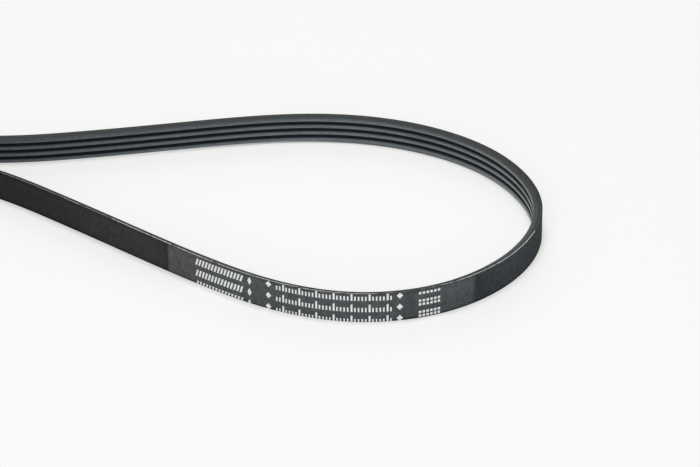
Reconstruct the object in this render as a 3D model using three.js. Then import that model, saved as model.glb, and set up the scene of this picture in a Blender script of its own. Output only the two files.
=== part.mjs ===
// Ribbed serpentine belt, an endless loop that stands on one cut edge.
// Millimetres, +Z up. The four ribs face the inside of the loop and the
// woven back faces the outside.
import * as THREE from 'three';
import { NURBSCurve } from 'three/addons/curves/NURBSCurve.js';

// ---- driving dimensions ----
const RIBS = 4;
const PITCH = 3.56;            // rib to rib
const WIDTH = RIBS * PITCH;    // 14.24, the height of the standing belt
const THICKNESS = 4.4;         // back to rib tip
const RIB_DEPTH = 2.3;         // groove floor to rib tip
const FLANK_ANGLE = 20;        // degrees, each side of a rib (40 in all)
const GROOVE_MOUTH = 1.95;     // groove width at the rib tips
const TIP_EASE = 0.22;         // bevel along each rib's tip corners
const STATIONS = 176;          // sections round the loop
const TURN_LENGTH = 9;         // straight mm that count as much as one radian of bend

// Plan of the woven back as the belt lies, seen from above: control points
// of a closed uniform cubic spline, clockwise, starting on the far run.
const PLAN = [
  [-48.58, 64.51], [-11.58, 70.91], [24.82, 79.31], [61.12, 88.41],
  [97.82, 95.71], [135.72, 93.91], [170.72, 79.21], [198.92, 53.61],
  [216.32, 20.11], [223.32, -17.19], [216.02, -54.49], [196.82, -87.29],
  [167.42, -111.49], [129.12, -118.89], [93.12, -105.59], [63.62, -82.39],
  [36.42, -56.79], [9.82, -30.49], [-17.08, -4.49], [-44.38, 21.21],
  [-76.18, 41.01], [-115.58, 39.71], [-151.28, 31.11], [-189.98, 30.51],
  [-222.58, 55.21], [-222.08, 97.21], [-187.28, 120.01], [-148.68, 111.51],
  [-118.28, 90.31], [-86.18, 69.31],
];

// ---- plan curve of the back ----
function planCurve() {
  const n = PLAN.length;
  const points = [PLAN[n - 1], ...PLAN, PLAN[0], PLAN[1]]
    .map(([x, y]) => new THREE.Vector4(x, y, 0, 1));
  const knots = Array.from({ length: n + 7 }, (_, i) => i);
  return new NURBSCurve(3, knots, points, 3, n + 3);
}

// Curve parameters of the stations: closer together where the belt bends more.
function stationParameters(curve) {
  const fine = 4000;
  const load = [0];
  let before = curve.getTangent(0);
  let from = curve.getPoint(0);
  for (let i = 1; i <= fine; i++) {
    const to = curve.getPoint(i / fine);
    const after = curve.getTangent(i / fine);
    const step = to.distanceTo(from);
    const bend = before.angleTo(after) / step;
    load.push(load[i - 1] + step * (Math.sqrt(bend) + 1 / TURN_LENGTH / 3));
    before = after;
    from = to;
  }
  const params = [];
  let k = 0;
  for (let s = 0; s < STATIONS; s++) {
    const want = (load[fine] * s) / STATIONS;
    while (load[k + 1] < want) k++;
    params.push((k + (want - load[k]) / (load[k + 1] - load[k])) / fine);
  }
  return params;
}

// ---- cross-section: x is the depth in from the back, y is the height ----
function sectionShape() {
  const run = RIB_DEPTH * Math.tan(THREE.MathUtils.degToRad(FLANK_ANGLE));
  const root = THICKNESS - RIB_DEPTH;              // depth of the groove floors
  const halfMouth = GROOVE_MOUTH / 2;
  const halfFloor = halfMouth - run;
  const easeX = TIP_EASE * Math.cos(THREE.MathUtils.degToRad(FLANK_ANGLE));
  const easeY = TIP_EASE * Math.sin(THREE.MathUtils.degToRad(FLANK_ANGLE));
  const shape = new THREE.Shape();
  shape.moveTo(0, 0);                              // cut edge, at the back
  shape.lineTo(root, 0);                           // cut edge, at the groove floor
  for (let rib = 0; rib < RIBS; rib++) {
    const low = rib * PITCH;
    const high = low + PITCH;
    shape.lineTo(root, low + halfFloor);           // foot of the lower flank
    shape.lineTo(THICKNESS - easeX, low + halfMouth - easeY);
    shape.lineTo(THICKNESS, low + halfMouth + TIP_EASE);
    shape.lineTo(THICKNESS, high - halfMouth - TIP_EASE);
    shape.lineTo(THICKNESS - easeX, high - halfMouth + easeY);
    shape.lineTo(root, high - halfFloor);          // foot of the upper flank
  }
  shape.lineTo(root, WIDTH);                       // upper cut edge
  shape.lineTo(0, WIDTH);
  return shape;
}

// ---- sweep the section round the closed plan ----
function beltGeometry() {
  const curve = planCurve();
  const section = sectionShape().getPoints();
  const first = section[0];
  if (section[section.length - 1].distanceTo(first) < 1e-6) section.pop();
  const rows = stationParameters(curve).map((t) => {
    const back = curve.getPoint(t);
    const along = curve.getTangent(t);
    const inward = new THREE.Vector3(along.y, -along.x, 0).normalize();
    return section.map(({ x, y }) =>
      new THREE.Vector3(back.x, back.y, y).addScaledVector(inward, x));
  });
  const positions = [];
  rows.forEach((row) => row.forEach((p) => positions.push(p.x, p.y, p.z)));
  const m = section.length;
  const n = rows.length;
  const index = [];
  for (let i = 0; i < n; i++) {
    const a = i * m;
    const b = ((i + 1) % n) * m;
    for (let j = 0; j < m; j++) {
      const k = (j + 1) % m;
      index.push(a + j, b + j, b + k, a + j, b + k, a + k);
    }
  }
  const geometry = new THREE.BufferGeometry();
  geometry.setAttribute('position', new THREE.Float32BufferAttribute(positions, 3));
  geometry.setIndex(index);
  geometry.computeVertexNormals();
  return geometry;
}

const rubber = new THREE.MeshStandardMaterial({
  color: 0x35383d,
  roughness: 0.72,
  metalness: 0,
  flatShading: true,
});

const belt = new THREE.Mesh(beltGeometry(), rubber);
belt.name = 'ribbed_belt';

const part = new THREE.Group();
part.add(belt);

export default part;
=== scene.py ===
import math

import bpy
import numpy as np
from mathutils import Matrix, Vector


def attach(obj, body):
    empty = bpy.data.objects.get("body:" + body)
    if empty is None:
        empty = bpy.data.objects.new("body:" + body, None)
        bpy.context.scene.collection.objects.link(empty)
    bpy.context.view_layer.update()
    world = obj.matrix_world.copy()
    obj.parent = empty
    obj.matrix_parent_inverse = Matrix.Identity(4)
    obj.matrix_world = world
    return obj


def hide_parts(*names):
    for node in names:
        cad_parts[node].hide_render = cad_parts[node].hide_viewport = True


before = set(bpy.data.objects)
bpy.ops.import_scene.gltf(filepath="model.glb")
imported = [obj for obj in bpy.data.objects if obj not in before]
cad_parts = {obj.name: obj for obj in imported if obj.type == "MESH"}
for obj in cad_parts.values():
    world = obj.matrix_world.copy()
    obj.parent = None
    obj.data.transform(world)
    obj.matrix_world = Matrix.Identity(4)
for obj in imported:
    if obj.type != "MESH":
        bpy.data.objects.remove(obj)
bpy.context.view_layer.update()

MM = 0.001

# ---------------------------------------------------------------- dimensions, mm
RIBS = 4
PITCH = 3.56
WIDTH = RIBS * PITCH
THICKNESS = 4.4
RIB_DEPTH = 2.3
ROOT = THICKNESS - RIB_DEPTH
FLANK = math.radians(20)
MOUTH = 1.95
CLOTH_OUT = 0.024         # depth of the cloth's outer face, under the ink
CLOTH_IN = 0.62           # depth of the cloth's inner face
CREASE = 1.50             # depth of the fine seam in the cut edges, between cushion and rib rubber
EDGE_LOW = 0.015          # how far the cut faces sit inside the full width
INK = 0.022               # ink thickness

# Plan of the back, control points of a closed uniform cubic spline, clockwise from above.
PLAN = np.array([
    (-48.58, 64.51), (-11.58, 70.91), (24.82, 79.31), (61.12, 88.41),
    (97.82, 95.71), (135.72, 93.91), (170.72, 79.21), (198.92, 53.61),
    (216.32, 20.11), (223.32, -17.19), (216.02, -54.49), (196.82, -87.29),
    (167.42, -111.49), (129.12, -118.89), (93.12, -105.59), (63.62, -82.39),
    (36.42, -56.79), (9.82, -30.49), (-17.08, -4.49), (-44.38, 21.21),
    (-76.18, 41.01), (-115.58, 39.71), (-151.28, 31.11), (-189.98, 30.51),
    (-222.58, 55.21), (-222.08, 97.21), (-187.28, 120.01), (-148.68, 111.51),
    (-118.28, 90.31), (-86.18, 69.31),
])


def spline(t):
    """Point and inward normal of the plan at parameters t (0 to 1)."""
    n = len(PLAN)
    x = (np.asarray(t, float) % 1.0) * n
    i = np.floor(x).astype(int)
    f = x - i
    b = ((1 - f) ** 3 / 6, (3 * f**3 - 6 * f**2 + 4) / 6,
         (-3 * f**3 + 3 * f**2 + 3 * f + 1) / 6, f**3 / 6)
    d = (-(1 - f) ** 2 / 2, (9 * f**2 - 12 * f) / 6,
         (-9 * f**2 + 6 * f + 3) / 6, f**2 / 2)
    p = sum(b[k][:, None] * PLAN[(i + k - 1) % n] for k in range(4))
    g = sum(d[k][:, None] * PLAN[(i + k - 1) % n] for k in range(4))
    g /= np.linalg.norm(g, axis=1)[:, None]
    return p, np.stack([g[:, 1], -g[:, 0]], 1)


# arc length along the back
_t = np.linspace(0, 1, 24001)
_p, _ = spline(_t)
_s = np.concatenate([[0], np.cumsum(np.linalg.norm(np.diff(_p, axis=0), axis=1))])
LENGTH = float(_s[-1])


def at(s):
    """Point and inward normal of the back at arc lengths s, mm."""
    s = np.asarray(s, float) % LENGTH
    return spline(np.interp(s, _s, _t))


# ---------------------------------------------------------------- small helpers
def round_corners(points, radii, steps):
    """Closed polygon (x, y) with each corner rounded by its radius."""
    out = []
    n = len(points)
    for k in range(n):
        p = np.array(points[k], float)
        a = np.array(points[k - 1], float) - p
        b = np.array(points[(k + 1) % n], float) - p
        la, lb = np.linalg.norm(a), np.linalg.norm(b)
        a /= la
        b /= lb
        r = radii[k]
        if r <= 0:
            out.append(p)
            continue
        half = math.acos(max(-1.0, min(1.0, float(a @ b)))) / 2
        cut = min(r / math.tan(half), 0.45 * la, 0.45 * lb)
        r = cut * math.tan(half)
        centre = p + (a + b) / np.linalg.norm(a + b) * (r / math.sin(half))
        v0 = p + a * cut - centre
        v1 = p + b * cut - centre
        a0 = math.atan2(v0[1], v0[0])
        da = math.atan2(v1[1], v1[0]) - a0
        da = (da + math.pi) % (2 * math.pi) - math.pi
        m = steps[k]
        for j in range(m + 1):
            ang = a0 + da * j / m
            out.append(centre + r * np.array([math.cos(ang), math.sin(ang)]))
    return np.array(out)


def subdivide(points, longest):
    """Closed polygon with long sides split."""
    out = []
    n = len(points)
    for k in range(n):
        p, q = points[k], points[(k + 1) % n]
        m = max(1, int(math.ceil(np.linalg.norm(q - p) / longest)))
        for j in range(m):
            out.append(p + (q - p) * j / m)
    return np.array(out)


def wobble(s, z, seed, wave, size):
    """A smooth, repeatable unevenness along the loop (periodic in s)."""
    rng = np.random.default_rng(seed)
    total = np.zeros(np.broadcast(s, z).shape)
    for k in range(9):
        turns = max(1, round(LENGTH / wave * rng.uniform(0.6, 1.7)))
        total = total + np.sin(2 * math.pi * turns * s / LENGTH
                               + rng.uniform(0, 6.28) + z * rng.uniform(-1.2, 1.2))
    return total * size / 4.5


def link(obj):
    bpy.context.scene.collection.objects.link(obj)
    return obj


def sweep(name, profile, stations, wob=None):
    """Closed ring: profile (depth, height) swept round the plan. Returns the object and
    its arrays. UV map 'mm' holds (arc length, profile length) in metres."""
    s = np.arange(stations) * LENGTH / stations
    p, n = at(s)
    m = len(profile)
    depth = np.broadcast_to(profile[:, 0], (stations, m)).copy()
    height = np.broadcast_to(profile[:, 1], (stations, m)).copy()
    if wob is not None:
        dd, dz = wob(s[:, None], profile[None, :, 0], profile[None, :, 1])
        depth += dd
        height += dz
    co = np.empty((stations, m, 3))
    co[:, :, 0] = p[:, 0, None] + n[:, 0, None] * depth
    co[:, :, 1] = p[:, 1, None] + n[:, 1, None] * depth
    co[:, :, 2] = height
    co = co.reshape(-1, 3) * MM
    i = np.arange(stations)[:, None]
    j = np.arange(m)[None, :]
    i2 = (i + 1) % stations
    j2 = (j + 1) % m
    quads = np.stack(np.broadcast_arrays(i * m + j, i2 * m + j, i2 * m + j2, i * m + j2), -1).reshape(-1, 4)
    mesh = bpy.data.meshes.new(name)
    mesh.from_pydata(co.tolist(), [], quads.tolist())
    side = np.linalg.norm(np.roll(profile, -1, axis=0) - profile, axis=1)
    v = np.concatenate([[0], np.cumsum(side)])
    step = LENGTH / stations
    u0 = np.broadcast_to(i * step, (stations, m)).reshape(-1)
    u1 = u0 + step
    v0 = np.broadcast_to(v[:-1][None, :], (stations, m)).reshape(-1)
    v1 = np.broadcast_to(v[1:][None, :], (stations, m)).reshape(-1)
    uv = np.stack([np.stack([u0, v0], 1), np.stack([u1, v0], 1),
                   np.stack([u1, v1], 1), np.stack([u0, v1], 1)], 1).reshape(-1, 2)
    layer = mesh.uv_layers.new(name="mm")
    layer.data.foreach_set("uv", (uv * MM).astype(np.float32).ravel())
    # bake map
    perimeter = float(v[-1])
    count = max(1, round(math.sqrt(LENGTH / perimeter)))
    while stations % count:
        count -= 1
    run = LENGTH / count
    k = np.floor((u0 + step / 2) / run)
    k4 = np.repeat(k, 4)
    big = max(run, perimeter * count)
    bx = (uv[:, 0] - k4 * run) / big * 0.98 + 0.01
    by = (uv[:, 1] * 0.985 + k4 * perimeter) / big * 0.98 + 0.01
    bake = mesh.uv_layers.new(name="OFBake")
    bake.data.foreach_set("uv", np.stack([bx, by], 1).astype(np.float32).ravel())
    obj = link(bpy.data.objects.new(name, mesh))
    mesh.validate()
    mesh.update()
    return obj, s, v


def shade(obj, degrees):
    mesh = obj.data
    mesh.shade_smooth()
    mesh.set_sharp_from_angle(angle=math.radians(degrees))


# ---------------------------------------------------------------- materials
def new_material(name):
    mat = bpy.data.materials.new(name)
    mat.use_nodes = True
    tree = mat.node_tree
    return mat, tree, tree.nodes["Principled BSDF"]


class Nodes:
    """Short calls for building node graphs."""

    def __init__(self, tree):
        self.tree = tree

    def _in(self, node, index, value):
        if value is None:
            return
        if hasattr(value, "is_output"):
            self.tree.links.new(value, node.inputs[index])
        else:
            node.inputs[index].default_value = value

    def math(self, op, a, b=None, c=None, clamp=False):
        n = self.tree.nodes.new("ShaderNodeMath")
        n.operation = op
        n.use_clamp = clamp
        self._in(n, 0, a)
        self._in(n, 1, b)
        self._in(n, 2, c)
        return n.outputs[0]

    def ramp(self, value, lo, hi, to_lo=0.0, to_hi=1.0, smooth=True):
        n = self.tree.nodes.new("ShaderNodeMapRange")
        n.interpolation_type = "SMOOTHSTEP" if smooth else "LINEAR"
        self._in(n, 0, value)
        n.inputs[1].default_value = lo
        n.inputs[2].default_value = hi
        n.inputs[3].default_value = to_lo
        n.inputs[4].default_value = to_hi
        return n.outputs[0]

    def mix(self, factor, a, b):
        n = self.tree.nodes.new("ShaderNodeMix")
        n.data_type = "RGBA"
        self._in(n, 0, factor)
        self._in(n, 6, a)
        self._in(n, 7, b)
        return n.outputs[2]

    def noise(self, vector, scale, detail=3.0, rough=0.55, distort=0.0):
        n = self.tree.nodes.new("ShaderNodeTexNoise")
        self._in(n, "Vector", vector)
        n.inputs["Scale"].default_value = scale
        n.inputs["Detail"].default_value = detail
        n.inputs["Roughness"].default_value = rough
        n.inputs["Distortion"].default_value = distort
        return n.outputs["Fac"]

    def bump(self, height, distance, strength=1.0, normal=None):
        n = self.tree.nodes.new("ShaderNodeBump")
        n.inputs["Strength"].default_value = strength
        n.inputs["Distance"].default_value = distance
        self._in(n, "Height", height)
        if normal is not None:
            self.tree.links.new(normal, n.inputs["Normal"])
        return n.outputs["Normal"]

    def uv_mm(self):
        """Arc length and profile length, both in mm."""
        n = self.tree.nodes.new("ShaderNodeUVMap")
        n.uv_map = "mm"
        sep = self.tree.nodes.new("ShaderNodeSeparateXYZ")
        self.tree.links.new(n.outputs[0], sep.inputs[0])
        return self.math("MULTIPLY", sep.outputs[0], 1000.0), self.math("MULTIPLY", sep.outputs[1], 1000.0)

    def vector(self, x, y, z=0.0):
        n = self.tree.nodes.new("ShaderNodeCombineXYZ")
        self._in(n, 0, x)
        self._in(n, 1, y)
        self._in(n, 2, z)
        return n.outputs[0]

    def ring(self, u, v, along_scale, across_scale, shift=0.0):
        """Noise vector that closes round the loop: u turns on a circle as long as the belt."""
        radius = LENGTH / (2 * math.pi) * along_scale
        angle = self.math("MULTIPLY", u, 2 * math.pi / LENGTH)
        x = self.math("MULTIPLY", self.math("COSINE", angle), radius)
        y = self.math("MULTIPLY", self.math("SINE", angle), radius)
        return self.vector(x, y, self.math("MULTIPLY_ADD", v, across_scale, shift))

    def scale(self, colour, factor):
        n = self.tree.nodes.new("ShaderNodeVectorMath")
        n.operation = "SCALE"
        self._in(n, 0, colour)
        self._in(n, "Scale", factor)
        return n.outputs[0]

    def attribute(self, name):
        n = self.tree.nodes.new("ShaderNodeAttribute")
        n.attribute_name = name
        return n.outputs["Fac"]


WEAVE_U = round(0.87 * LENGTH) / LENGTH      # threads per mm along the belt
WEAVE_V = 0.69                               # and across it


def weave_height(k, u, v):
    """Two sets of yarns that cross at about 50 degrees each side of the belt's length, over and
    under by turns. Returns the height of each set, which one is over, and the strands in it."""
    off = k.math("MULTIPLY", k.noise(k.ring(u, v, 0.03, 0.03), 1.0, 1.0), 0.5)
    a = k.math("ADD", k.math("ADD", k.math("MULTIPLY", u, WEAVE_U), k.math("MULTIPLY", v, WEAVE_V)), off)
    b = k.math("ADD", k.math("SUBTRACT", k.math("MULTIPLY", u, WEAVE_U), k.math("MULTIPLY", v, WEAVE_V)), off)
    sa = k.math("SINE", k.math("MULTIPLY", a, math.pi))
    sb = k.math("SINE", k.math("MULTIPLY", b, math.pi))
    ra = k.math("ABSOLUTE", sa)
    rb = k.math("ABSOLUTE", sb)
    # a yarn set is on top where the two sines agree in sign, the other where they differ
    over = k.ramp(k.math("MULTIPLY", sa, sb), -0.25, 0.25)
    # each yarn is a bundle of finer strands
    fine_a = k.math("SINE", k.math("MULTIPLY", a, 10 * math.pi))
    fine_b = k.math("SINE", k.math("MULTIPLY", b, 10 * math.pi))
    strand = k.math("ADD", k.math("MULTIPLY", fine_a, over),
                    k.math("MULTIPLY", fine_b, k.math("SUBTRACT", 1.0, over)))
    return ra, rb, over, strand


def cloth_material():
    mat, tree, bsdf = new_material("belt_back_cloth")
    k = Nodes(tree)
    u, v = k.uv_mm()
    ra, rb, over, strand = weave_height(k, u, v)
    top_a = k.math("MULTIPLY", ra, over)
    top_b = k.math("MULTIPLY", rb, k.math("SUBTRACT", 1.0, over))
    height = k.math("ADD", top_a, top_b)
    # which set shows more changes slowly along the belt
    lean = k.noise(k.ring(u, v, 0.022, 0.03, 3.0), 1.0, 1.0)
    lean = k.ramp(k.math("ADD", k.math("MULTIPLY", lean, 0.35), k.ramp(u, 470.0, 560.0, 0.40, 0.15)), 0.15, 0.85)
    tone_a = k.math("MULTIPLY", ra, k.math("ADD", k.math("MULTIPLY", lean, 0.62), 0.19))
    tone_b = k.math("MULTIPLY", rb, k.math("SUBTRACT", 0.81, k.math("MULTIPLY", lean, 0.62)))
    yarn = k.ramp(k.math("ADD", tone_a, tone_b), 0.44, 0.86)
    # bare cloth in the marked stretch, rubbed-over cloth elsewhere
    bare = k.math("MULTIPLY", k.ramp(u, 589.3, 591.7, 1.0, 0.0), k.ramp(u, 423.2, 427.0))
    shadow_line = k.math("MULTIPLY", k.ramp(u, 590.6, 591.4), k.ramp(u, 591.8, 594.0, 1.0, 0.0))
    fibre = k.noise(k.vector(u, v), 3.2, 4.0, 0.7)
    smear = k.noise(k.ring(u, v, 0.05, 0.18, 1.0), 1.0, 4.0, 0.65)
    mottle = k.noise(k.ring(u, v, 0.42, 0.5, 7.0), 1.0, 3.0, 0.6)
    cool = k.attribute("cool")
    dark = k.mix(smear, k.mix(cool, DARK_A, COOL_A), k.mix(cool, DARK_B, COOL_B))
    dark = k.scale(dark, k.math("ADD", k.math("MULTIPLY", yarn, 0.30), 0.83))
    dark = k.scale(dark, k.ramp(mottle, 0.25, 0.75, 0.76, 1.24, smooth=False))
    grain = k.noise(k.vector(u, v), 1.5, 3.0, 0.6)
    dark = k.scale(dark, k.ramp(grain, 0.3, 0.7, 0.54, 1.46, smooth=False))
    # the weave stands out in some patches and fades in others
    clear = k.noise(k.ring(u, v, 0.22, 0.30, 9.0), 1.0, 3.0, 0.6)
    clear = k.ramp(clear, 0.32, 0.68, 0.28, 1.12)
    level = k.math("ADD", k.math("MULTIPLY", k.math("SUBTRACT", yarn, 0.5), clear), 0.52)
    pale = k.mix(level, k.mix(cool, PALE_GAP_W, PALE_GAP), k.mix(cool, PALE_YARN_W, PALE_YARN))
    pale = k.mix(k.math("MULTIPLY", k.ramp(fibre, 0.35, 0.75), 0.22), pale, PALE_GAP)
    pale = k.scale(pale, k.ramp(mottle, 0.25, 0.75, 0.74, 1.29, smooth=False))
    colour = k.mix(bare, dark, pale)
    colour = k.mix(k.math("MULTIPLY", shadow_line, 0.32), colour, (0.010, 0.010, 0.010, 1))
    colour = k.scale(colour, k.math("MULTIPLY_ADD", strand, k.math("MULTIPLY_ADD", bare, 0.10, 0.06), 1.0))
    colour = k.scale(colour, k.attribute("tone"))
    tree.links.new(colour, bsdf.inputs["Base Color"])
    bsdf.inputs["Roughness"].default_value = 0.88
    bsdf.inputs["Specular IOR Level"].default_value = 0.10
    depth_ = k.math("MULTIPLY", height, k.math("ADD", k.math("MULTIPLY", bare, 0.6), 0.4))
    depth_ = k.math("ADD", depth_, k.math("MULTIPLY", strand, 0.07))
    tree.links.new(k.bump(k.math("ADD", depth_, k.math("MULTIPLY", fibre, 0.25)), 0.00009, 0.8), bsdf.inputs["Normal"])
    return mat


DARK_A = (0.0324, 0.0334, 0.0322, 1)
DARK_B = (0.0420, 0.0434, 0.0425, 1)
COOL_A = (0.0290, 0.0345, 0.0402, 1)
COOL_B = (0.0375, 0.0445, 0.0518, 1)
PALE_GAP = (0.004, 0.006, 0.007, 1)
PALE_YARN = (0.158, 0.188, 0.206, 1)
PALE_GAP_W = (0.005, 0.006, 0.006, 1)
PALE_YARN_W = (0.176, 0.182, 0.175, 1)
TIP = (0.146, 0.168, 0.184, 1)
TIP_DARK = (0.106, 0.124, 0.138, 1)
TIP_W = (0.150, 0.171, 0.168, 1)
TIP_DARK_W = (0.109, 0.126, 0.124, 1)
FLANK_COLOUR = (0.031, 0.038, 0.043, 1)
# painted shade: the flank colour deeper inside the grooves
FLANK_DEEP = (0.026, 0.035, 0.042, 1)
CUT_A = (0.053, 0.0605, 0.0600, 1)
CUT_B = (0.092, 0.1025, 0.0990, 1)
CUT_A_W = (0.055, 0.0600, 0.0515, 1)
CUT_B_W = (0.095, 0.1010, 0.0860, 1)


def rubber_material():
    mat, tree, bsdf = new_material("belt_ribbed_rubber")
    k = Nodes(tree)
    u, v = k.uv_mm()
    tip = k.attribute("tip")
    cut = k.attribute("cut")
    deep = k.attribute("deep")
    outer = k.attribute("outer")
    grain = k.noise(k.ring(u, v, 0.8, 4.16), 1.0, 4.0, 0.65)
    fine = k.noise(k.vector(u, v), 5.5, 3.0, 0.6)
    patch = k.noise(k.ring(u, v, 0.045, 0.35), 1.0, 3.0, 0.6)
    mottle = k.noise(k.ring(u, v, 0.34, 0.55, 11.0), 1.0, 3.0, 0.6)
    cool = k.attribute("cool")
    # fine lengthwise marks that the grinding left on tips and flanks
    grind = k.noise(k.ring(u, v, 0.12, 8.0, 3.0), 1.0, 3.0, 0.65)
    tip_mix = k.ramp(k.math("ADD", k.math("MULTIPLY", grain, 0.5), k.math("MULTIPLY", patch, 0.5)), 0.3, 0.7)
    tip_col = k.mix(tip_mix, k.mix(cool, TIP_DARK_W, TIP_DARK), k.mix(cool, TIP_W, TIP))
    tip_col = k.scale(tip_col, k.ramp(mottle, 0.25, 0.75, 0.84, 1.16, smooth=False))
    tip_col = k.scale(tip_col, k.ramp(grind, 0.25, 0.75, 0.84, 1.16, smooth=False))
    # painted shade: the flanks darken deeper into the grooves
    flank = k.mix(deep, FLANK_COLOUR, FLANK_DEEP)
    flank = k.scale(flank, k.ramp(grind, 0.25, 0.75, 0.84, 1.16, smooth=False))
    cut_mix = k.ramp(k.math("ADD", k.math("MULTIPLY", fine, 0.5), k.math("MULTIPLY", grain, 0.5)), 0.34, 0.68)
    cut_col = k.mix(cut_mix, k.mix(cool, CUT_A_W, CUT_A), k.mix(cool, CUT_B_W, CUT_B))
    cut_col = k.scale(cut_col, k.ramp(mottle, 0.25, 0.75, 0.86, 1.14, smooth=False))
    streak = k.noise(k.ring(u, v, 0.30, 2.2, 5.0), 1.0, 4.0, 0.7)
    bend = k.math("MULTIPLY", k.ramp(u, 215.0, 265.0, 0.5, 1.0), k.ramp(u, 380.0, 440.0, 1.0, 0.4))
    streak = k.math("MULTIPLY", k.ramp(streak, 0.25, 0.75, -0.34, 0.34, smooth=False), bend)
    cut_col = k.scale(cut_col, k.math("ADD", streak, 1.0))
    flank = k.mix(k.math("MULTIPLY", outer, 0.7), flank, k.scale(cut_col, 0.8))
    colour = k.mix(tip, flank, tip_col)
    # dust and fibre ends leave a fine grain on tips and flanks
    speck = k.noise(k.vector(u, v), 1.4, 3.0, 0.6)
    colour = k.scale(colour, k.ramp(speck, 0.3, 0.7, 0.68, 1.32, smooth=False))
    colour = k.mix(cut, colour, cut_col)
    colour = k.scale(colour, k.attribute("tone"))
    tree.links.new(colour, bsdf.inputs["Base Color"])
    rough = k.ramp(grain, 0.3, 0.7, 0.56, 0.72)
    tree.links.new(rough, bsdf.inputs["Roughness"])
    bsdf.inputs["Specular IOR Level"].default_value = 0.26
    bump_h = k.math("ADD", k.math("MULTIPLY", grain, 0.6), k.math("MULTIPLY", fine, 0.5))
    bump_h = k.math("ADD", bump_h, k.math("MULTIPLY", grind, 0.4))
    tree.links.new(k.bump(bump_h, 0.00005, 0.6), bsdf.inputs["Normal"])
    return mat


def cord_material():
    mat, tree, bsdf = new_material("belt_cord_yarn")
    k = Nodes(tree)
    u, v = k.uv_mm()
    lay = k.math("SINE", k.math("ADD", k.math("MULTIPLY", u, 2 * math.pi / 1.15), k.math("MULTIPLY", v, 5.0)))
    fleck = k.noise(k.vector(u, k.math("MULTIPLY", v, 3.0)), 2.4, 3.0, 0.6)
    bright = k.attribute("bright")
    worn = k.math("ADD", k.math("MULTIPLY", k.ramp(lay, -1.0, 0.6), 0.35), k.math("MULTIPLY", k.ramp(fleck, 0.3, 0.62), 0.65))
    cool = k.ramp(u, 440.0, 480.0, 1.0, 0.0)
    clean = k.mix(worn, k.mix(cool, (0.34, 0.33, 0.30, 1), (0.30, 0.325, 0.327, 1)),
                  k.mix(cool, (0.88, 0.87, 0.83, 1), (0.835, 0.88, 0.885, 1)))
    colour = k.mix(bright, (0.045, 0.046, 0.044, 1), clean)
    tree.links.new(colour, bsdf.inputs["Base Color"])
    bsdf.inputs["Roughness"].default_value = 0.8
    bsdf.inputs["Specular IOR Level"].default_value = 0.25
    tree.links.new(k.bump(lay, 0.00004, 0.7), bsdf.inputs["Normal"])
    return mat


def ink_material():
    mat, tree, bsdf = new_material("belt_marking_ink")
    k = Nodes(tree)
    u, v = k.uv_mm()
    ra, rb, over, strand = weave_height(k, u, v)
    yarn = k.math("MULTIPLY", k.math("ADD", ra, rb), 0.5)
    fleck = k.noise(k.vector(u, v), 3.0, 3.0, 0.6)
    cover = k.ramp(k.math("ADD", k.math("MULTIPLY", yarn, 0.7), k.math("MULTIPLY", fleck, 0.55)), 0.34, 0.78)
    colour = k.mix(cover, (0.62, 0.65, 0.65, 1), (0.93, 0.95, 0.95, 1))
    tree.links.new(colour, bsdf.inputs["Base Color"])
    bsdf.inputs["Roughness"].default_value = 0.62
    bsdf.inputs["Specular IOR Level"].default_value = 0.35
    tree.links.new(k.bump(yarn, 0.00006, 0.6), bsdf.inputs["Normal"])
    return mat


def floor_material():
    mat, tree, bsdf = new_material("studio_floor")
    bsdf.inputs["Base Color"].default_value = FLOOR_COLOUR
    bsdf.inputs["Roughness"].default_value = 0.6
    bsdf.inputs["Specular IOR Level"].default_value = 0.2
    # painted glow: the floor gives off light of its own, which lifts the shadows on it
    bsdf.inputs["Emission Color"].default_value = FLOOR_GLOW
    k = Nodes(tree)
    contact_shade_ao = tree.nodes.new("ShaderNodeAmbientOcclusion")
    contact_shade_ao.samples = 8
    contact_shade_ao.inputs["Distance"].default_value = 0.004
    # painted contact shadow: ambient occlusion cuts the glow back in the closed wedge under the belt; along the left of
    # the far run the glow stays full and a painted brightening is added close to the belt
    place = tree.nodes.new("ShaderNodeNewGeometry")
    sep = tree.nodes.new("ShaderNodeSeparateXYZ")
    tree.links.new(place.outputs["Position"], sep.inputs[0])
    open_side = k.math("MULTIPLY", k.ramp(sep.outputs[0], 0.02, 0.15, 1.0, 0.0), k.ramp(sep.outputs[1], 0.045, 0.058))
    glow = k.math("MAXIMUM", k.ramp(contact_shade_ao.outputs["AO"], 0.16, 0.46), open_side)
    lift = k.math("MULTIPLY", k.ramp(contact_shade_ao.outputs["AO"], 0.16, 0.62, 0.20, 0.0), open_side)
    tree.links.new(k.math("ADD", k.math("MULTIPLY", glow, 0.365), lift), bsdf.inputs["Emission Strength"])
    return mat


# colour of the floor's painted glow
FLOOR_GLOW = (1.0, 1.0, 0.985, 1)
FLOOR_COLOUR = (0.80, 0.80, 0.787, 1)

# ---------------------------------------------------------------- tone along the loop
def along(s, knots):
    """Smooth factor along the loop from (arc length, factor) pairs, periodic."""
    a = np.array(knots, float)
    return np.interp(np.asarray(s) % LENGTH, a[:, 0], a[:, 1], period=LENGTH)


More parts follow.
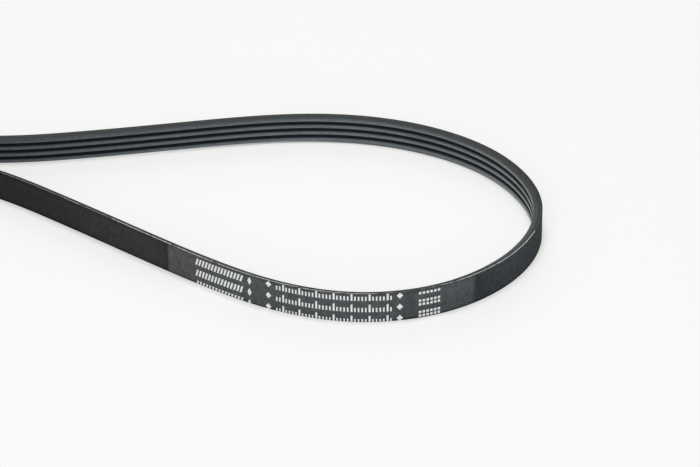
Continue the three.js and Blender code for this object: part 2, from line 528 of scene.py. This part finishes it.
CLOTH_TONE = [(300, 1.05), (342, 1.15), (360, 1.42), (375, 1.46), (390, 1.62), (405, 1.54), (419, 1.36), (425.5, 1.10),
              (440, 1.06), (456, 1.02), (458, 0.88), (462, 0.88), (464, 1.02), (480, 1.06), (560, 1.10), (589.5, 1.14),
              (592.5, 1.14), (602, 1.20), (622, 1.12), (643, 1.10), (655, 0.90), (672, 0.82), (690, 0.76), (715, 0.72),
              (760, 0.80), (850, 0.86), (1050, 0.84)]
CLOTH_COOL = [(300, 0.5), (325, 0.1), (352, 0.1), (364, 0.75), (420, 0.95), (427, 0.66), (500, 0.62), (530, 0.5), (575, 0.04), (690, 0.0), (900, 0.3)]
CLOTH_RISE = [(366, 0.0), (400, 0.04), (424, 0.05), (427, 0.11), (452, 0.10), (470, 0.03), (700, 0.0), (1100, 0.0)]
# painted light: the rib tips and flanks are brightened along the loop where they turn towards the light, the tips most
# near s 330
TIP_TONE = [(0, 0.76), (20, 0.80), (75, 0.93), (110, 1.03), (150, 1.14), (220, 1.26), (250, 1.56), (272, 1.98),
            (290, 2.18), (310, 2.40), (330, 3.05), (345, 2.5), (380, 1.35), (420, 0.95), (700, 0.88), (1060, 0.78)]
FLANK_TONE = [(0, 0.80), (20, 0.84), (75, 0.93), (110, 1.02), (150, 1.09), (220, 1.16), (250, 1.24), (272, 1.28),
              (300, 1.12), (340, 1.0), (420, 0.95), (700, 0.90), (1060, 0.82)]
TIP_FADE = [(0, 0.25), (200, 0.28), (225, 0.38), (250, 0.46), (300, 0.46), (340, 0.35), (380, 0.25), (1100, 0.25)]
TIP_FADE_FROM = [(0, 0.40), (200, 0.40), (250, 0.12), (300, 0.12), (380, 0.4), (1100, 0.4)]
CUT_TONE = [(0, 1.0), (230, 1.0), (260, 0.88), (285, 0.78), (310, 0.70), (335, 0.64), (352, 0.72), (366, 0.92), (400, 0.96),
            (445, 1.0), (700, 1.0), (1100, 1.0)]
OUTER_TONE = [(0, 1.04), (200, 1.06), (250, 1.16), (310, 1.14), (328, 1.2), (345, 1.6), (360, 1.8), (385, 1.76),
              (402, 1.66), (420, 1.3), (445, 0.85), (500, 0.60), (720, 0.52), (800, 1.0), (1100, 1.0)]
SEAM = [(0, 0.45), (300, 0.45), (345, 0.45), (366, 0.78), (388, 0.84), (424, 0.84), (450, 0.62), (700, 0.5), (1100, 0.45)]
# painted highlight on the cut face beside the rib root, turning to a darkening from s 450
STRIP = [(0, 0.0), (300, 0.0), (345, 0.18), (358, 0.34), (370, 0.60), (400, 0.55), (412, 0.40), (424, 0.10), (450, -0.20), (500, -0.40),
         (540, -0.48), (720, -0.52), (770, -0.25), (830, 0.0), (1100, 0.0)]
TOP_RIM = [(0, 0.0), (342, 0.0), (354, 0.65), (366, 0.48), (400, 0.45), (422, 0.40), (426, 0.0), (1100, 0.0)]
SHOULDER = [(0, 0.0), (350, 0.0), (364, 0.9), (424, 1.0), (450, 0.3), (480, 0.0), (1100, 0.0)]
# painted highlight on the outer flank at the rounded corner of the rib root
CORNER = [(0, 0.0), (350, 0.0), (364, 0.30), (405, 0.30), (418, 0.0), (1100, 0.0)]
BAND = [(0, 0.0), (310, 0.0), (328, 0.22), (345, 0.40), (360, 0.30), (374, 0.08), (400, 0.0), (1100, 0.0)]
LIP = [(0, 0.0), (310, 0.0), (332, 0.45), (345, 0.95), (356, 1.25), (366, 0.80), (400, 0.50), (424, 0.0), (1100, 0.0)]
RUBBER_COOL = [(0, 1.0), (200, 1.0), (230, 0.72), (260, 0.35), (288, 0.0), (330, 0.0), (350, 0.7), (420, 1.0), (450, 0.6),
               (560, 0.3), (700, 0.5), (1000, 1.0)]


# ---------------------------------------------------------------- the rubber body with its ribs
STATIONS = 780
run = RIB_DEPTH * math.tan(FLANK)
half_mouth = MOUTH / 2
half_floor = half_mouth - run
top_z = WIDTH - EDGE_LOW
def crease(z, inward, order):
    """Section points of the fine seam in a cut edge."""
    rows = [(CREASE - 0.40, z), (CREASE - 0.15, z), (CREASE, z + inward * 0.05), (CREASE + 0.15, z), (CREASE + 0.36, z)]
    return rows[::order]


pts = [(CLOTH_IN + 0.01, EDGE_LOW)]
rad = [0.04]
seg = [2]
for q in crease(EDGE_LOW, 1, 1):
    pts.append(q); rad.append(0.0); seg.append(1)
pts.append((ROOT, EDGE_LOW)); rad.append(0.10); seg.append(3)
for rib in range(RIBS):
    low = rib * PITCH
    high = low + PITCH
    if rib > 0:
        pts.append((ROOT, low + half_floor)); rad.append(0.12); seg.append(2)
    else:
        pts.append((ROOT + 0.10, low + half_floor + 0.035)); rad.append(0.0); seg.append(1)
    pts.append((THICKNESS, low + half_mouth)); rad.append(0.30); seg.append(4)
    for q in (0.36, 0.54, 0.72):
        pts.append((THICKNESS, low + half_mouth + q * (PITCH - MOUTH))); rad.append(0.0); seg.append(1)
    pts.append((THICKNESS, high - half_mouth)); rad.append(0.30); seg.append(4)
    if rib < RIBS - 1:
        pts.append((ROOT, high - half_floor)); rad.append(0.12); seg.append(2)
    else:
        pts.append((ROOT + 0.10, high - half_floor - 0.035)); rad.append(0.0); seg.append(1)
pts.append((ROOT, top_z)); rad.append(0.10); seg.append(3)
for q in crease(top_z, -1, -1):
    pts.append(q); rad.append(0.0); seg.append(1)
pts.append((CLOTH_IN + 0.01, top_z)); rad.append(0.04); seg.append(2)
body_profile = subdivide(round_corners(pts, rad, seg), 0.95)


def body_wobble(s, t, z):
    """Cut and ground faces are a little uneven; nothing leaves the full section."""
    edge = (np.abs(z - WIDTH / 2) > WIDTH / 2 - 0.2) & (t < ROOT + 0.05)
    dz = np.where(edge, np.minimum(wobble(s, t, 5, 9.0, 0.010), 0.010), 0.0)
    dz = np.where(z > WIDTH / 2, dz, -dz)
    tipm = t > THICKNESS - 0.02
    dd = np.where(tipm, -0.012 + wobble(s, z, 11, 14.0, 0.008), 0.0)
    return dd, dz


body, body_s, body_v = sweep("ribbed_rubber_body", body_profile, STATIONS, body_wobble)
shade(body, 40)


def point_attribute(obj, name, values, stations):
    attr = obj.data.attributes.new(name, "FLOAT", "POINT")
    attr.data.foreach_set("value", np.tile(np.asarray(values, np.float32), stations))


prof = body_profile
tipness = np.clip((prof[:, 0] - (THICKNESS - 0.26)) / 0.20, 0, 1)
is_edge = np.abs(prof[:, 1] - WIDTH / 2) > WIDTH / 2 - 0.20
cutness = np.where(is_edge & (prof[:, 0] < ROOT + 0.02), 1.0, 0.0)
in_groove = np.array([min(abs(z - k_ * PITCH) for k_ in (1, 2, 3)) < half_mouth for z in prof[:, 1]])
# how deep a point sits in a groove, for the painted shade there
deepness = np.where(in_groove, np.clip((THICKNESS - 0.1 - prof[:, 0]) / 0.9, 0, 1), 0.0)
# painted light along the loop on the tips and flanks, from TIP_TONE and FLANK_TONE
inner_tone = along(body_s, TIP_TONE)[:, None]
flank_tone = along(body_s, FLANK_TONE)[:, None]
# the rib tips catch less light towards their upper edge
across = np.clip(((prof[:, 1] % PITCH) - half_mouth) / (PITCH - MOUTH), 0, 1)
fade_lo = along(body_s, TIP_FADE_FROM)[:, None]
f_ = np.clip((across[None, :] - fade_lo) / (0.95 - fade_lo), 0, 1)
inner_tone = inner_tone * (1 - along(body_s, TIP_FADE)[:, None] * f_ * f_ * (3 - 2 * f_))
outerness = np.where((~in_groove) & (cutness < 0.5) & (prof[:, 0] > ROOT - 0.01), 1 - tipness, 0.0)
outerness[(prof[:, 0] > THICKNESS - 0.02)] = 0.0
# the seam in the cut edge is dark; the strip inside it, up to the rib root, carries a painted highlight from s 345 to
# 424 and is darkened from s 450 to about 830
seam = np.interp(np.abs(prof[:, 0] - CREASE), [0.0, 0.16, 0.40], [1.0, 0.62, 0.0])
strip = np.clip((prof[:, 0] - 1.5) / 0.5, 0, 1)
band = np.clip((1.35 - prof[:, 0]) / 0.3, 0, 1)
shoulder = np.interp(prof[:, 0], [0.64, 1.09, 1.36, 1.49], [0.0, 0.50, 0.30, 0.0])
cut_tone = along(body_s, CUT_TONE)[:, None] * (1 - along(body_s, SEAM)[:, None] * seam[None, :]) \
    * (1 - along(body_s, SHOULDER)[:, None] * shoulder[None, :]) \
    * (1 + along(body_s, STRIP)[:, None] * strip[None, :]) * (1 + along(body_s, BAND)[:, None] * band[None, :])
tone = tipness[None, :] * inner_tone + (1 - tipness[None, :]) * flank_tone
# painted highlight at the rib root's corner, on the outer flank
corner = np.clip(1 - (prof[:, 0] - ROOT) / 0.45, 0, 1)
outer_tone = along(body_s, OUTER_TONE)[:, None] * (1 + along(body_s, CORNER)[:, None] * corner[None, :])
tone = outerness[None, :] * outer_tone + (1 - outerness[None, :]) * tone
tone = cutness[None, :] * cut_tone + (1 - cutness[None, :]) * tone


def station_attribute(obj, name, values):
    attr = obj.data.attributes.new(name, "FLOAT", "POINT")
    attr.data.foreach_set("value", np.asarray(values, np.float32).ravel())


station_attribute(body, "tone", tone)
station_attribute(body, "cool", along(body_s, RUBBER_COOL)[:, None] * np.ones(len(prof))[None, :])
point_attribute(body, "tip", tipness, STATIONS)
point_attribute(body, "cut", cutness, STATIONS)
point_attribute(body, "deep", deepness, STATIONS)
point_attribute(body, "outer", outerness, STATIONS)
body.data.materials.append(rubber_material())

# ---------------------------------------------------------------- the woven cloth bonded on the back
cloth_pts = [(CLOTH_IN, EDGE_LOW), (CLOTH_IN, top_z), (CLOTH_OUT, top_z), (CLOTH_OUT, top_z - 0.13),
             (CLOTH_OUT, EDGE_LOW + 0.13), (CLOTH_OUT, EDGE_LOW)]
cloth_profile = subdivide(round_corners(cloth_pts[::-1], [0.08, 0.0, 0.0, 0.08, 0.03, 0.03], [4, 1, 1, 4, 1, 1]), 0.72)
# start the profile at the outer face's lower end
area = 0.5 * np.sum(cloth_profile[:, 0] * np.roll(cloth_profile[:, 1], -1)
                    - np.roll(cloth_profile[:, 0], -1) * cloth_profile[:, 1])
if area < 0:
    cloth_profile = cloth_profile[::-1]
start = int(np.argmin(cloth_profile[:, 1] * 4 + cloth_profile[:, 0]))
cloth_profile = np.roll(cloth_profile, -start, axis=0)


def cloth_wobble(s, t, z):
    edge = np.abs(z - WIDTH / 2) > WIDTH / 2 - 0.2
    dz = np.where(edge, np.minimum(wobble(s, t, 21, 6.0, 0.012), 0.010), 0.0)
    dz = np.where(z > WIDTH / 2, dz, -dz)
    return np.zeros_like(dz), dz


cloth, cloth_s, cloth_v = sweep("woven_back_cloth", cloth_profile, STATIONS, cloth_wobble)
shade(cloth, 40)
height_ = cloth_profile[:, 1]
rim = np.interp(height_, [0.0, 0.4, 0.9, 1.5, 3.0, 7.0, 12.2, 13.0, 13.7, WIDTH], [0.25, 0.31, 0.82, 0.97, 1.0, 1.0, 1.06, 1.00, 0.82, 0.84])
rise = 1 + along(cloth_s, CLOTH_RISE)[:, None] * ((height_ - 7.0) / 7.0)[None, :]
lip = np.where(height_ > WIDTH - 0.1, np.clip((cloth_profile[:, 0] - 0.04) / 0.06, 0, 1), 0.0)
rise = rise * (1 + along(cloth_s, LIP)[:, None] * lip[None, :])
upper = np.where(lip > 0, 0.0, np.clip((height_ - 13.0) / 0.7, 0, 1))
rise = rise * (1 + along(cloth_s, TOP_RIM)[:, None] * upper[None, :])
station_attribute(cloth, "tone", 0.95 * along(cloth_s, CLOTH_TONE)[:, None] * rim[None, :] * rise)
station_attribute(cloth, "cool", along(cloth_s, CLOTH_COOL)[:, None] * np.ones_like(rim)[None, :])
cloth.data.materials.append(cloth_material())


# ---------------------------------------------------------------- closed slabs that follow the loop
def slab_set(name, slabs, v_shift=0.0):
    """slabs: list of (s array, section list per station of (depth, height) points, value)."""
    verts, faces, uvs, values = [], [], [], []
    for s, sections, vals in slabs:
        p, n = at(s)
        base = len(verts)
        m = len(sections[0])
        for i in range(len(s)):
            for d, z in sections[i]:
                verts.append(((p[i, 0] + n[i, 0] * d) * MM, (p[i, 1] + n[i, 1] * d) * MM, z * MM))
            values.extend([vals[i]] * m)
        for i in range(len(s) - 1):
            for j in range(m):
                a = base + i * m + j
                b = base + (i + 1) * m + j
                j2 = (j + 1) % m
                c = base + (i + 1) * m + j2
                d_ = base + i * m + j2
                faces.append((a, b, c, d_))
                za, zc = sections[i][j], sections[i][j2]
                vv = (za[1] + za[0] + v_shift, zc[1] + zc[0] + v_shift)
                zb, zd = sections[i + 1][j], sections[i + 1][j2]
                vw = (zb[1] + zb[0] + v_shift, zd[1] + zd[0] + v_shift)
                uvs.extend([(s[i], vv[0]), (s[i + 1], vw[0]), (s[i + 1], vw[1]), (s[i], vv[1])])
        first = tuple(base + j for j in range(m))
        last = tuple(base + (len(s) - 1) * m + j for j in range(m))
        faces.append(first)
        uvs.extend([(s[0], z + d + v_shift) for d, z in sections[0]])
        faces.append(last[::-1])
        uvs.extend([(s[-1], z + d + v_shift) for d, z in sections[-1][::-1]])
    mesh = bpy.data.meshes.new(name)
    mesh.from_pydata(verts, [], faces)
    layer = mesh.uv_layers.new(name="mm")
    layer.data.foreach_set("uv", (np.array(uvs) * MM).astype(np.float32).ravel())
    attr = mesh.attributes.new("bright", "FLOAT", "POINT")
    attr.data.foreach_set("value", np.array(values, np.float32))
    obj = link(bpy.data.objects.new(name, mesh))
    import bmesh
    bm = bmesh.new()
    bm.from_mesh(mesh)
    bmesh.ops.recalc_face_normals(bm, faces=bm.faces)
    bm.to_mesh(mesh)
    bm.free()
    mesh.update()
    return obj


# ---------------------------------------------------------------- tensile cord showing in the cut edges
def cord_run(stretches, top):
    """stretches: (s from, s to, depth, width, brightness). One closed strip each, crowned."""
    slabs = []
    for s0, s1, d0, d1, width, bright in stretches:
        m = max(4, int(abs(s1 - s0) / 0.7))
        s = np.linspace(s0, s1, m + 1)
        f = np.linspace(0, 1, m + 1)
        taper = np.clip(np.minimum(f, 1 - f) * abs(s1 - s0) / 2.5, 0.12, 1)
        centre = d0 + (d1 - d0) * f + wobble(s, 0.0, 31, 16.0, 0.05)
        w = width * taper * (1 + wobble(s, 0.0, 37, 7.0, 0.16)) / 2
        b = np.clip(bright * (0.55 + 0.45 * taper) * (1 + wobble(s, 0.0, 41, 5.0, 0.28)), 0.03, 1)
        sections = []
        for i in range(m + 1):
            c, h = centre[i], w[i]
            rise = 0.003 + 0.010 * taper[i]
            zt = WIDTH - EDGE_LOW
            prof_ = [(c - h, zt - 0.10), (c + h, zt - 0.10), (c + h, zt + 0.002), (c + 0.55 * h, zt + rise * 0.8),
                     (c, zt + rise), (c - 0.55 * h, zt + rise * 0.8), (c - h, zt + 0.002)]
            if not top:
                prof_ = [(d, WIDTH - z) for d, z in prof_][::-1]
            sections.append(prof_)
        slabs.append((s, sections, b))
    return slabs


TOP_CORD = [
    (764.0, 712.0, 1.05, 1.05, 0.22, 0.22),
    (712.0, 668.0, 1.10, 1.05, 0.40, 0.34),
    (668.0, 652.5, 1.05, 1.05, 0.50, 0.62),
    (652.8, 632.0, 1.05, 1.05, 0.40, 0.42),
    (632.3, 588.0, 1.05, 0.95, 0.58, 0.95),
    (588.3, 560.0, 0.95, 0.72, 0.58, 0.90),
    (560.2, 512.0, 0.80, 0.82, 0.58, 0.92),
    (512.2, 474.0, 0.55, 0.62, 0.52, 0.85),
    (473.6, 466.0, 0.70, 0.72, 0.42, 0.55),
    (465.6, 457.5, 0.55, 0.50, 0.30, 0.30),
    (455.4, 450.8, 0.75, 0.55, 0.38, 0.55),
    (450.3, 446.0, 0.85, 0.62, 0.46, 0.85),
    (445.4, 436.0, 0.84, 0.66, 0.42, 0.92),
    (436.4, 365.8, 0.66, 0.58, 0.53, 1.00),
    (365.2, 362.2, 0.62, 0.66, 0.24, 0.45),
]
BOTTOM_CORD = [
    (1010.0, 950.0, 1.00, 0.95, 0.50, 0.80),
    (949.6, 905.0, 0.95, 0.85, 0.46, 0.65),
    (904.5, 880.0, 0.85, 0.80, 0.30, 0.35),
    (1060.0, 1010.6, 1.05, 1.00, 0.40, 0.50),
]
cord = slab_set("exposed_cord", cord_run(TOP_CORD, True) + cord_run(BOTTOM_CORD, False))
shade(cord, 50)
cord.data.materials.append(cord_material())


# ---------------------------------------------------------------- plain markings on the back
# Three slanting rows of plain shapes. A shape is a chain of (along, low, high) stations: along runs to
# the right as the back is read, in mm from the field's left, and low and high are heights in mm.
def upright(x, w, lo, hi):
    return [[(x, lo, hi), (x + w, lo, hi)]]


def slant(x, w, lo, hi, lean):
    """Bar that leans to the right going up."""
    k_ = (hi - lo) / lean
    out = []
    for q in sorted({x, x + w, x + lean, x + lean + w}):
        top_ = min(hi, lo + (q - x) * k_)
        bot_ = max(lo, lo + (q - x - w) * k_)
        out.append((q, min(bot_, top_ - 0.02), max(top_, bot_ + 0.02)))
    return [out]


def diamond(x, w, lo, hi):
    mid = (lo + hi) / 2
    return [[(x, mid - 0.03, mid + 0.03), (x + w / 2, lo, hi), (x + w, mid - 0.03, mid + 0.03)]]


def hatch_field(base, top_):
    """A hatched band of slanting bars, then one diamond."""
    m = []
    for i in range(15):
        m += slant(0.2 + i * 1.98, 1.12, base, top_, 1.15)
    return m + diamond(32.6, 2.4, base - 0.35, top_ + 0.35)


def scale_field(base, top_):
    """A band of scale ticks, every fifth one tall, between two diamonds."""
    m = diamond(0.0, 3.0, base + 0.3, top_ - 0.3)
    for i in range(34):
        tall = i % 5 == 2
        m += upright(5.6 + i * 1.66, 0.92 if tall else 0.72, base, top_ if tall else base + 2.15)
    return m + diamond(63.4, 3.0, base + 0.3, top_ - 0.3)


def dot_field(base, top_, count, shift):
    m = []
    for i in range(count):
        m += upright(shift + i * 1.92, 1.22, base, top_)
    return m


PITCH_ROWS = 5.72
fields = []
for k_ in range(3):
    fields.append((572.6, hatch_field(9.75 - k_ * PITCH_ROWS, 13.05 - k_ * PITCH_ROWS)))
    fields.append((529.6, scale_field(10.78 - k_ * PITCH_ROWS, 14.56 - k_ * PITCH_ROWS)))
for k_ in range(3):
    fields.append((456.0, dot_field(11.95 - k_ * PITCH_ROWS, 13.15 - k_ * PITCH_ROWS, 6, 0.4)))
for k_ in range(1, 3):
    fields.append((456.0, dot_field(13.80 - k_ * PITCH_ROWS, 15.00 - k_ * PITCH_ROWS, 6, 0.4)))

LOW_LIMIT = EDGE_LOW + 0.16
HIGH_LIMIT = WIDTH - EDGE_LOW - 0.16
ink_slabs = []
for start_s, marks in fields:
    for chain in marks:
        a0, a1 = chain[0][0], chain[-1][0]
        count = max(1, int(math.ceil((a1 - a0) / 0.55)))
        xs = sorted(set(np.linspace(a0, a1, count + 1).round(4)) | {round(c[0], 4) for c in chain})
        cx = [c[0] for c in chain]
        lo = np.interp(xs, cx, [c[1] for c in chain])
        hi = np.interp(xs, cx, [c[2] for c in chain])
        lo2 = np.clip(lo, LOW_LIMIT, HIGH_LIMIT)
        hi2 = np.clip(hi, LOW_LIMIT, HIGH_LIMIT)
        keep = hi2 - lo2 > 0.015
        if keep.sum() < 2:
            continue
        idx = np.nonzero(keep)[0]
        idx = np.arange(idx[0], idx[-1] + 1)
        s_here = start_s - np.array(xs)[idx]
        sections = [[(CLOTH_OUT + 0.03, lo2[i]), (CLOTH_OUT - INK, lo2[i]), (CLOTH_OUT - INK, hi2[i]), (CLOTH_OUT + 0.03, hi2[i])]
                    for i in idx]
        ink_slabs.append((s_here, sections, np.ones(len(idx))))
face = int(np.argmin(np.abs(cloth_profile[:, 1] - WIDTH / 2) + 10 * (cloth_profile[:, 0] > 0.3)))
ink = slab_set("back_markings", ink_slabs, float(cloth_v[face] - cloth_profile[face, 1]))
shade(ink, 30)
ink.data.materials.append(ink_material())

# ---------------------------------------------------------------- floor, light, camera
bpy.ops.mesh.primitive_plane_add(size=6.0, location=(0, 0, 0))
floor = bpy.context.active_object
floor.name = "studio_floor"
floor.data.materials.append(floor_material())

scene = bpy.context.scene
scene.view_settings.view_transform = "Standard"
world = bpy.data.worlds.new("studio")
world.use_nodes = True
world.node_tree.nodes["Background"].inputs[0].default_value = (0.985, 0.99, 1.0, 1)
world.node_tree.nodes["Background"].inputs[1].default_value = 0.17
scene.world = world


def area_light(name, place, target, size, power, colour):
    data = bpy.data.lights.new(name, "AREA")
    data.shape = "SQUARE"
    data.size = size
    data.energy = power
    data.color = colour
    obj = link(bpy.data.objects.new(name, data))
    obj.location = place
    obj.rotation_euler = (Vector(target) - Vector(place)).to_track_quat("-Z", "Y").to_euler()
    return obj


area_light("overhead_box", (0.19, 0.08, 1.97), (0.1, -0.02, 0.0), 0.85, 17.5, (1.0, 1.0, 1.0))
area_light("front_fill", (-0.064, -1.892, 0.684), (0.1, -0.02, 0.0), 1.1, 12.0, (1.0, 1.0, 1.0))
area_light("back_fill", (0.0, 1.75, 0.94), (0.1, -0.02, 0.0), 1.1, 4.2, (1.0, 1.0, 1.0))

# The camera: 25.1 degrees down on the point under the picture's middle.
PITCH_DOWN = 0.43827
DISTANCE = 1682.3
AIM = np.array([128.234 - 0.24, -20.374])
camera_data = bpy.data.cameras.new("camera")
camera_data.sensor_fit = "HORIZONTAL"
camera_data.sensor_width = 36.0
camera_data.lens = 3476.62 / 700 * 36.0
camera_data.clip_end = 50.0
camera = link(bpy.data.objects.new("camera", camera_data))
lift = 0.24
camera.location = Vector((
    AIM[0],
    AIM[1] - DISTANCE * math.cos(PITCH_DOWN) + lift * math.sin(PITCH_DOWN),
    DISTANCE * math.sin(PITCH_DOWN) + lift * math.cos(PITCH_DOWN),
)) * MM
camera.rotation_euler = (math.pi / 2 - PITCH_DOWN, 0, 0)
scene.camera = camera

# ---------------------------------------------------------------- ties to the frame
for piece in (body, cloth, cord, ink):
    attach(piece, "root")
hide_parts("ribbed_belt")

bpy.context.view_layer.update()
